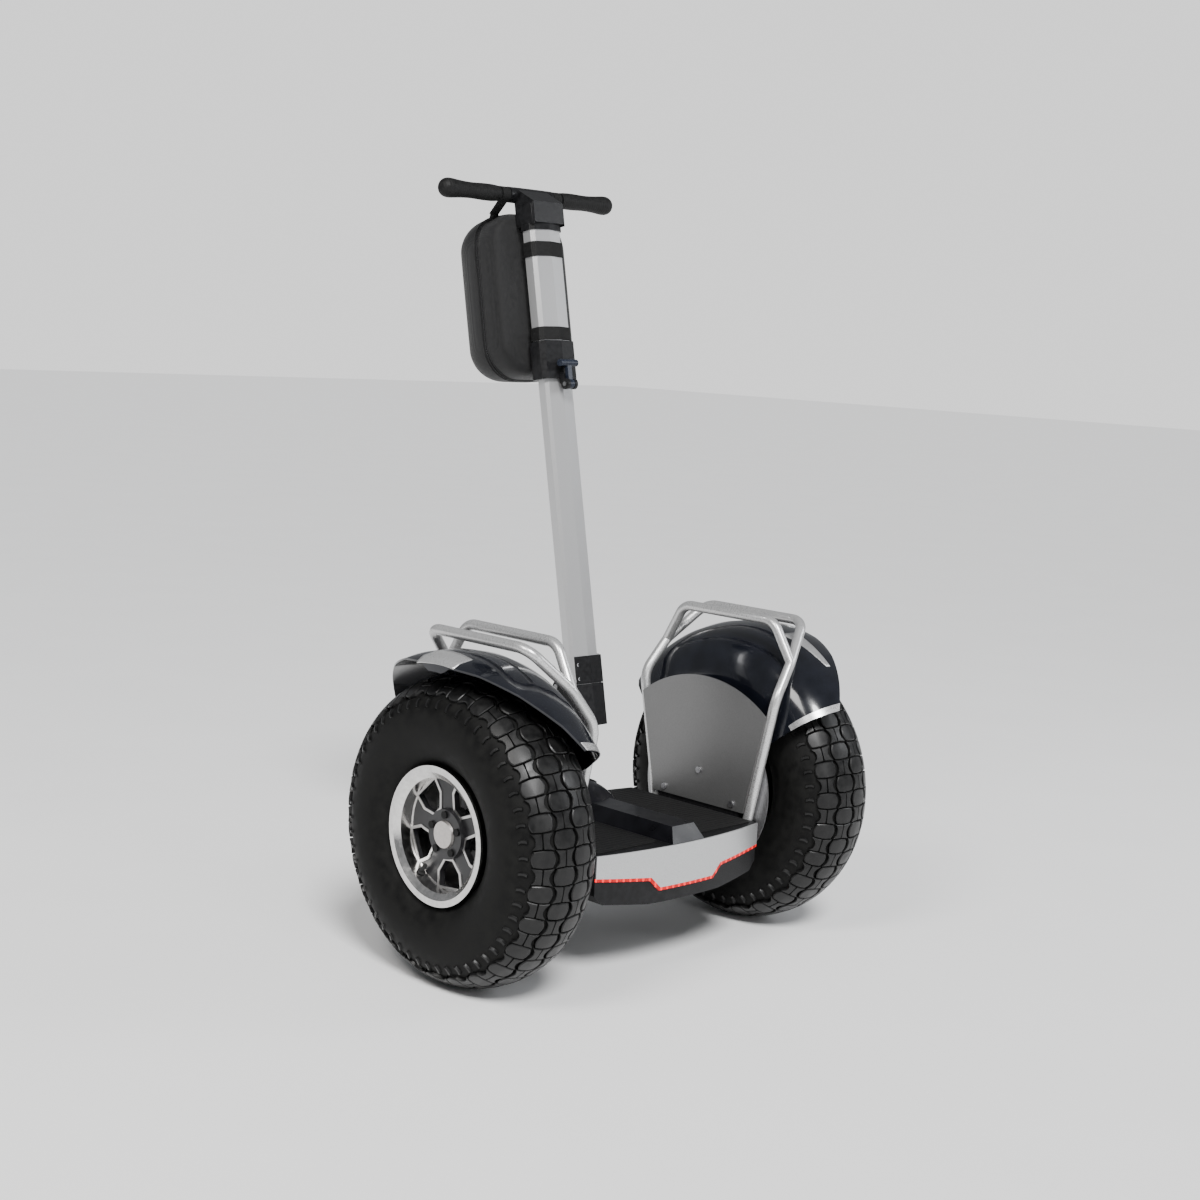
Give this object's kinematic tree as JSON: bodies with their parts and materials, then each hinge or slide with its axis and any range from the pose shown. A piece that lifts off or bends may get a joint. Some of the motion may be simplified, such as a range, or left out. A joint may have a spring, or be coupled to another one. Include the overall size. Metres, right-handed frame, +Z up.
{
  "type": "self-balancing scooter",
  "caption": "Two-wheel self-balancing scooter: standing deck between fat off-road tyres, side guards, fenders, and a leaning, folding, telescopic steering stem with a bag.",
  "frame": {"origin": "on the ground, midway between the tyres' contact patches, below the axle line", "axes": "+X to the rider's right, +Y forward, +Z up"},
  "size_m": [0.888, 0.6967, 1.3767],
  "materials": {
    "tyre_rubber": "matte black rubber with a blocky tread",
    "rim_alloy": "polished barrel with machined and black painted spokes",
    "machined_steel": "bare machined",
    "screw_steel": "bright zinc",
    "black_rubber": "matte",
    "black_cast_alloy": "black powder coat on cast alloy",
    "motor_can": "dull cast",
    "black_shell_plastic": "satin black",
    "gloss_black_plastic": "gloss black",
    "deck_alloy": "black anodised",
    "silver_alloy": "satin silver",
    "red_light": "red light bar, emissive",
    "battery_wrap": "shrink wrapped",
    "bar_alloy": "black anodised",
    "bag_fabric": "black moulded shell covered in woven fabric",
    "stand_steel": "black powder coat"
  },
  "bodies": {
    "chassis": {"lower_housing": "black_shell_plastic", "deck_plate": "deck_alloy", "deck_mats": "black_rubber", "tunnel_cover": "gloss_black_plastic", "rear_strip": "silver_alloy", "front_strip": "silver_alloy", "rear_light": "red_light", "battery_pack": "battery_wrap", "controller": "motor_can", "charge_port": "black_shell_plastic", "plate_screws": "screw_steel", "fender_trims": "silver_alloy", "hub_shields": "silver_alloy", "lean_bearings": "motor_can", "gearbox_case_left": "black_cast_alloy", "motor_case_left": "motor_can", "side_plate_left": "silver_alloy", "guard_left": "silver_alloy", "guard_hoop_left": "silver_alloy", "fender_left": "gloss_black_plastic", "gearbox_case_right": "black_cast_alloy", "motor_case_right": "motor_can", "side_plate_right": "silver_alloy", "guard_right": "silver_alloy", "guard_hoop_right": "silver_alloy", "fender_right": "gloss_black_plastic"},
    "wheel_left": {"tyre_left": "tyre_rubber", "rim_left": "rim_alloy", "hub_cap_left": "rim_alloy", "drive_axle_left": "machined_steel", "wheel_bolts_left": "screw_steel", "valve_left": "black_rubber"},
    "rotor_left": {"motor_rotor_left": "machined_steel"},
    "wheel_right": {"tyre_right": "tyre_rubber", "rim_right": "rim_alloy", "hub_cap_right": "rim_alloy", "drive_axle_right": "machined_steel", "wheel_bolts_right": "screw_steel", "valve_right": "black_rubber"},
    "rotor_right": {"motor_rotor_right": "machined_steel"},
    "lean_neck": {"neck": "machined_steel", "neck_cover": "black_rubber", "fold_base": "black_cast_alloy", "fold_pin": "machined_steel"},
    "stem_lower": {"fold_sleeve": "silver_alloy", "fold_cover": "black_shell_plastic", "lower_tube": "silver_alloy"},
    "latch": {"fold_latch": "machined_steel"},
    "stem_upper": {"upper_tube": "silver_alloy", "clamp_collar": "black_shell_plastic", "clamp_pin": "machined_steel", "head_block": "black_shell_plastic", "handlebar": "bar_alloy", "grips": "black_rubber", "bag_shell": "bag_fabric", "bag_straps": "bag_fabric"},
    "lever": {"clamp_lever": "black_shell_plastic"},
    "lid": {"bag_lid": "bag_fabric"},
    "stand": {"parking_stand": "stand_steel"},
    "button": {"power_button": "black_shell_plastic"}
  },
  "joints": [
    {"name": "wheel_left_spin", "type": "hinge", "parent": "chassis", "child": "wheel_left", "pos_m": [-0.357, 0, 0.267], "axis": [1, 0, 0], "continuous": true},
    {"name": "rotor_left_spin", "type": "hinge", "parent": "chassis", "child": "rotor_left", "pos_m": [-0.141, 0, 0.19], "axis": [1, 0, 0], "continuous": true},
    {"name": "wheel_right_spin", "type": "hinge", "parent": "chassis", "child": "wheel_right", "pos_m": [0.357, 0, 0.267], "axis": [1, 0, 0], "continuous": true},
    {"name": "rotor_right_spin", "type": "hinge", "parent": "chassis", "child": "rotor_right", "pos_m": [0.141, 0, 0.19], "axis": [1, 0, 0], "continuous": true},
    {"name": "lean_steer", "type": "hinge", "parent": "chassis", "child": "lean_neck", "pos_m": [0, 0.1, 0.196], "axis": [0, 1, 0], "range_deg": [-12, 12], "stiffness_Nm_per_rad": 150},
    {"name": "stem_fold", "type": "hinge", "parent": "lean_neck", "child": "stem_lower", "pos_m": [0, 0.13792, 0.46243], "axis": [-1, 0, 0], "range_deg": [0, 75]},
    {"name": "latch_pull", "type": "slide", "parent": "lean_neck", "child": "latch", "axis": [0, 0.9789, -0.2045], "range_m": [0, 0.008], "stiffness_N_per_m": 800, "springref_m": -0.005},
    {"name": "stem_height", "type": "slide", "parent": "stem_lower", "child": "stem_upper", "axis": [0, 0.2045, 0.9789], "range_m": [-0.1, 0.08]},
    {"name": "clamp_lever_swing", "type": "hinge", "parent": "stem_upper", "child": "lever", "pos_m": [0, 0.1771, 1.01919], "axis": [1, 0, 0], "range_deg": [0, 110]},
    {"name": "bag_lid_hinge", "type": "hinge", "parent": "stem_upper", "child": "lid", "pos_m": [0, 0.29815, 1.01842], "axis": [-1, 0, 0], "range_deg": [0, 60]},
    {"name": "stand_fold", "type": "hinge", "parent": "chassis", "child": "stand", "pos_m": [0, 0.14, 0.124], "axis": [-1, 0, 0], "range_deg": [0, 90]},
    {"name": "power_press", "type": "slide", "parent": "chassis", "child": "button", "axis": [0, -1, 0], "range_m": [0, 0.003], "stiffness_N_per_m": 600, "springref_m": -0.002}
  ],
  "couplings": [
    {"joint": "rotor_left_spin", "follows": "wheel_left_spin", "ratio": -3.2778},
    {"joint": "rotor_right_spin", "follows": "wheel_right_spin", "ratio": -3.2778}
  ]
}
